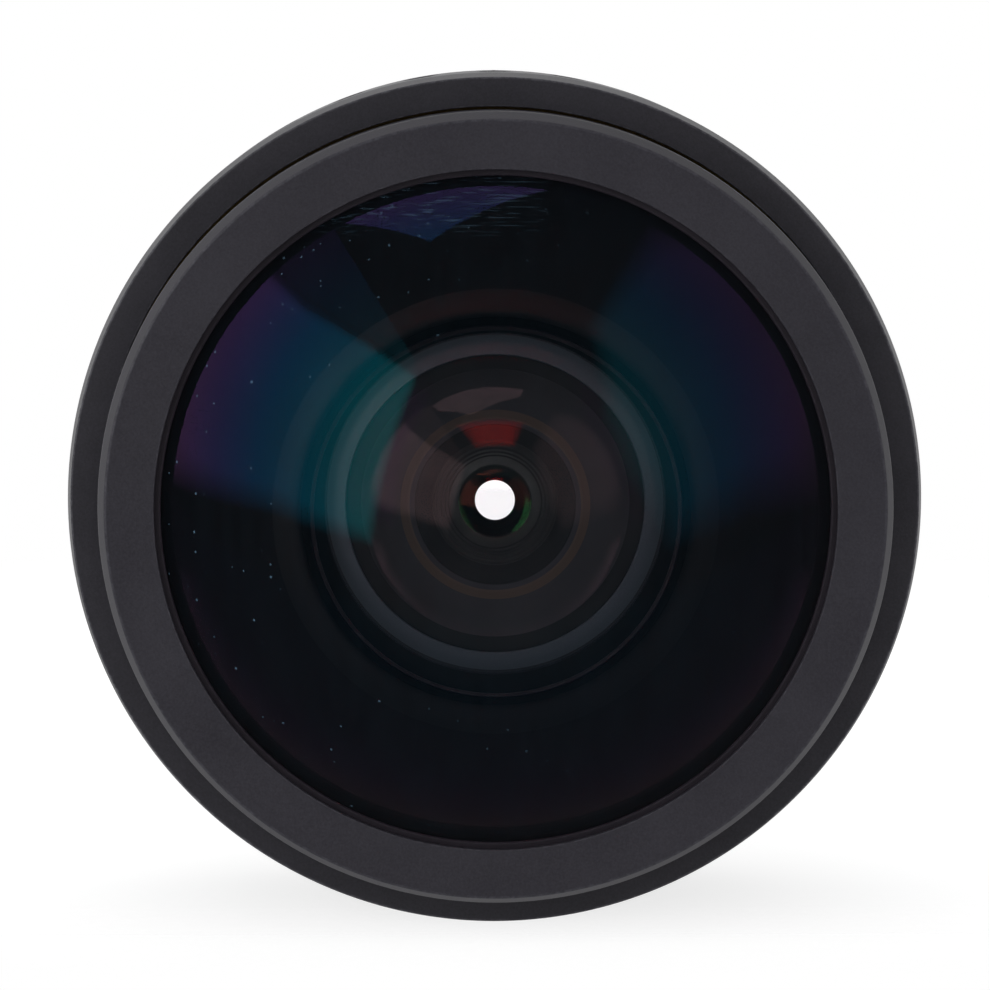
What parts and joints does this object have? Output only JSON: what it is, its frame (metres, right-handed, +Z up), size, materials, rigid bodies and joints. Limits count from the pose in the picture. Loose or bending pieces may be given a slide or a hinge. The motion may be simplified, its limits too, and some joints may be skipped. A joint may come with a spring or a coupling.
{
  "type": "fisheye lens",
  "caption": "Compact manual circular fisheye camera lens with domed front glass, focus and aperture rings, blade iris and bayonet mount.",
  "frame": {"origin": "centre of the rear flange's seating face, on the optical axis", "axes": "+Y along the optical axis towards the camera, so the lens looks along -Y; +Z up, at the red mounting mark"},
  "size_m": [0.06, 0.0472, 0.06],
  "materials": {
    "black_anodised": "black anodised aluminium, satin",
    "black_matt": "matt black anodised aluminium with light-trap paint",
    "grey_anodised": "dark grey anodised aluminium",
    "front_glass": "polished optical glass with multi-coating",
    "inner_glass": "polished optical glass with coating",
    "mount_chrome": "chrome plated brass, satin",
    "thread_brass": "turned brass",
    "screw_steel": "nickel plated steel",
    "black_screw": "black oxide steel",
    "blade_steel": "blackened spring steel",
    "seal_rubber": "matt black rubber",
    "bead_red": "red enamel-like plastic bead",
    "baffle_plastic": "moulded matt black plastic"
  },
  "bodies": {
    "fixed_barrel": {"main_barrel": "black_anodised", "index_ring": "black_anodised", "index_set_screws": "black_screw", "guide_pins": "screw_steel", "bayonet_mount": "mount_chrome", "mount_screws": "screw_steel", "rear_baffle": "baffle_plastic", "mount_index_bead": "bead_red"},
    "focus_group": {"focus_ring": "black_anodised", "focus_helicoid": "thread_brass", "focus_guide_screws": "screw_steel", "focus_set_screws": "black_screw"},
    "optical_block": {"focus_barrel": "black_matt", "front_bezel": "black_anodised", "front_retaining_ring": "black_matt", "front_element": "front_glass", "front_seal_ring": "seal_rubber", "front_cell": "black_matt", "second_element": "inner_glass", "second_retaining_ring": "grey_anodised", "baffle_spacer": "grey_anodised", "third_element": "inner_glass", "iris_housing": "black_matt", "iris_screws": "screw_steel", "fourth_element": "inner_glass", "fifth_element": "inner_glass", "rear_spacer": "black_matt", "sixth_element": "inner_glass", "rear_cell": "black_matt", "rear_retaining_ring": "black_matt"},
    "aperture_group": {"aperture_ring": "black_anodised", "aperture_drive_pin": "screw_steel"},
    "iris_cam": {"iris_cam_ring": "thread_brass", "iris_fork": "thread_brass"},
    "blade_1": {"iris_blade_1": "blade_steel"},
    "blade_2": {"iris_blade_2": "blade_steel"},
    "blade_3": {"iris_blade_3": "blade_steel"},
    "blade_4": {"iris_blade_4": "blade_steel"},
    "blade_5": {"iris_blade_5": "blade_steel"},
    "blade_6": {"iris_blade_6": "blade_steel"},
    "blade_7": {"iris_blade_7": "blade_steel"}
  },
  "joints": [
    {"name": "focus_turn", "type": "hinge", "parent": "fixed_barrel", "child": "focus_group", "pos_m": [0, -0.0209, 0], "axis": [0, -1, 0], "range_deg": [0, 90]},
    {"name": "focus_slide", "type": "slide", "parent": "fixed_barrel", "child": "optical_block", "axis": [0, -1, 0], "range_m": [0, 0.0006]},
    {"name": "aperture_turn", "type": "hinge", "parent": "fixed_barrel", "child": "aperture_group", "pos_m": [0, -0.00845, 0], "axis": [0, -1, 0], "range_deg": [0, 42]},
    {"name": "iris_cam_turn", "type": "hinge", "parent": "optical_block", "child": "iris_cam", "pos_m": [0, -0.0072, 0], "axis": [0, -1, 0], "range_deg": [0, 42]},
    {"name": "blade_1_turn", "type": "hinge", "parent": "optical_block", "child": "blade_1", "pos_m": [0, -0.0061, 0.0082], "axis": [0, -1, 0], "range_deg": [0, 21.3]},
    {"name": "blade_2_turn", "type": "hinge", "parent": "optical_block", "child": "blade_2", "pos_m": [-0.00641, -0.0061, 0.00511], "axis": [0, -1, 0], "range_deg": [0, 21.3]},
    {"name": "blade_3_turn", "type": "hinge", "parent": "optical_block", "child": "blade_3", "pos_m": [-0.00799, -0.0061, -0.00182], "axis": [0, -1, 0], "range_deg": [0, 21.3]},
    {"name": "blade_4_turn", "type": "hinge", "parent": "optical_block", "child": "blade_4", "pos_m": [-0.00356, -0.0061, -0.00739], "axis": [0, -1, 0], "range_deg": [0, 21.3]},
    {"name": "blade_5_turn", "type": "hinge", "parent": "optical_block", "child": "blade_5", "pos_m": [0.00356, -0.0061, -0.00739], "axis": [0, -1, 0], "range_deg": [0, 21.3]},
    {"name": "blade_6_turn", "type": "hinge", "parent": "optical_block", "child": "blade_6", "pos_m": [0.00799, -0.0061, -0.00182], "axis": [0, -1, 0], "range_deg": [0, 21.3]},
    {"name": "blade_7_turn", "type": "hinge", "parent": "optical_block", "child": "blade_7", "pos_m": [0.00641, -0.0061, 0.00511], "axis": [0, -1, 0], "range_deg": [0, 21.3]}
  ],
  "couplings": [
    {"joint": "focus_slide", "follows": "focus_turn", "m_per_rad": 0.00038197},
    {"joint": "iris_cam_turn", "follows": "aperture_turn", "ratio": 1},
    {"joint": "blade_1_turn", "follows": "aperture_turn", "ratio": 0.50714},
    {"joint": "blade_2_turn", "follows": "aperture_turn", "ratio": 0.50714},
    {"joint": "blade_3_turn", "follows": "aperture_turn", "ratio": 0.50714},
    {"joint": "blade_4_turn", "follows": "aperture_turn", "ratio": 0.50714},
    {"joint": "blade_5_turn", "follows": "aperture_turn", "ratio": 0.50714},
    {"joint": "blade_6_turn", "follows": "aperture_turn", "ratio": 0.50714},
    {"joint": "blade_7_turn", "follows": "aperture_turn", "ratio": 0.50714}
  ]
}
